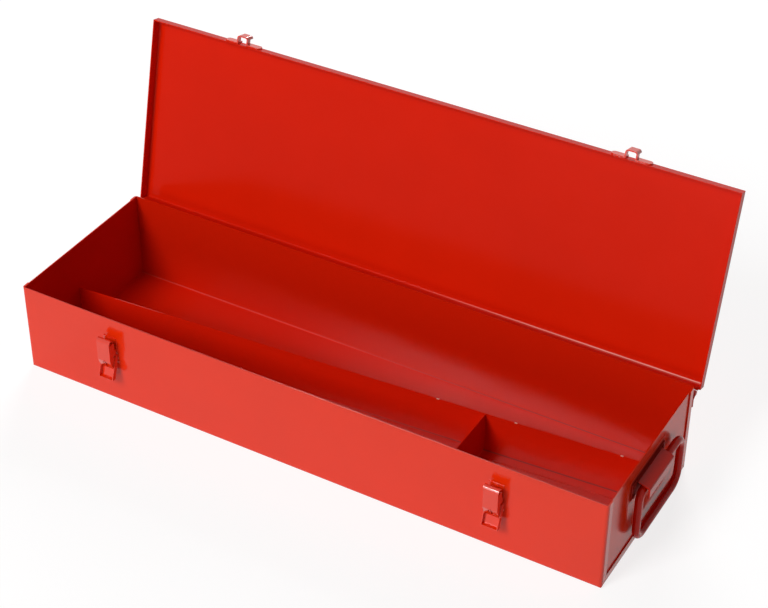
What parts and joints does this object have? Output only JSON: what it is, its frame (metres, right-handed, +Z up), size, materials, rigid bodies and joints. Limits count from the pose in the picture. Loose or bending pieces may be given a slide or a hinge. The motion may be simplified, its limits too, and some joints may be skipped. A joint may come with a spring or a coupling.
{
  "type": "tool box",
  "caption": "Long flat sheet-steel tool box with a back-hinged lid, slanting divider, hooked lever latches and a drop handle on one end.",
  "frame": {"origin": "centre of the flat face that the case stands on; the open lid is left out of this centre", "axes": "+Z up, +X along the case towards the end with the handle, -Y the front with the latches"},
  "size_m": [0.6845, 0.2865, 0.3041],
  "materials": {
    "case_enamel": "glossy red enamel on steel sheet",
    "lid_enamel": "glossy red enamel on steel sheet",
    "fitting_enamel": "glossy red enamel on pressed steel and rod"
  },
  "bodies": {
    "case": {"case_wrap": "case_enamel", "left_end_panel": "case_enamel", "right_end_panel": "case_enamel", "long_divider": "case_enamel", "cross_divider": "case_enamel", "hinge_case_leaf": "fitting_enamel", "hinge_pin": "fitting_enamel", "left_latch_base": "fitting_enamel", "right_latch_base": "fitting_enamel", "latch_rivets": "fitting_enamel", "handle_bracket": "fitting_enamel", "handle_rivets": "fitting_enamel"},
    "lid": {"lid_pan": "lid_enamel", "hinge_lid_leaf": "fitting_enamel", "left_keeper": "fitting_enamel", "right_keeper": "fitting_enamel"},
    "left_link": {"left_link": "fitting_enamel"},
    "right_link": {"right_link": "fitting_enamel"},
    "left_lever_arm": {"left_hook_plate": "fitting_enamel", "left_lever": "fitting_enamel", "left_lever_pins": "fitting_enamel"},
    "right_lever_arm": {"right_hook_plate": "fitting_enamel", "right_lever": "fitting_enamel", "right_lever_pins": "fitting_enamel"},
    "handle": {"carry_handle": "fitting_enamel"}
  },
  "joints": [
    {"name": "lid_swing", "type": "hinge", "parent": "case", "child": "lid", "pos_m": [0, 0.1068, 0.0903], "axis": [1, 0, 0], "range_deg": [0, 103.5]},
    {"name": "left_link_swing", "type": "hinge", "parent": "case", "child": "left_link", "pos_m": [-0.2238, -0.1056, 0.074], "axis": [-1, 0, 0], "range_deg": [0, 165]},
    {"name": "left_lever_swing", "type": "hinge", "parent": "left_link", "child": "left_lever_arm", "pos_m": [-0.2238, -0.1056, 0.062], "axis": [-1, 0, 0], "range_deg": [-165, 0]},
    {"name": "right_link_swing", "type": "hinge", "parent": "case", "child": "right_link", "pos_m": [0.2212, -0.1056, 0.074], "axis": [-1, 0, 0], "range_deg": [0, 165]},
    {"name": "right_lever_swing", "type": "hinge", "parent": "right_link", "child": "right_lever_arm", "pos_m": [0.2212, -0.1056, 0.062], "axis": [-1, 0, 0], "range_deg": [-165, 0]},
    {"name": "handle_swing", "type": "hinge", "parent": "case", "child": "handle", "pos_m": [0.3402, 0.0095, 0.076], "axis": [0, -1, 0], "range_deg": [0, 150]}
  ],
  "couplings": [
    {"joint": "left_lever_swing", "follows": "left_link_swing", "ratio": -1},
    {"joint": "right_lever_swing", "follows": "right_link_swing", "ratio": -1}
  ]
}
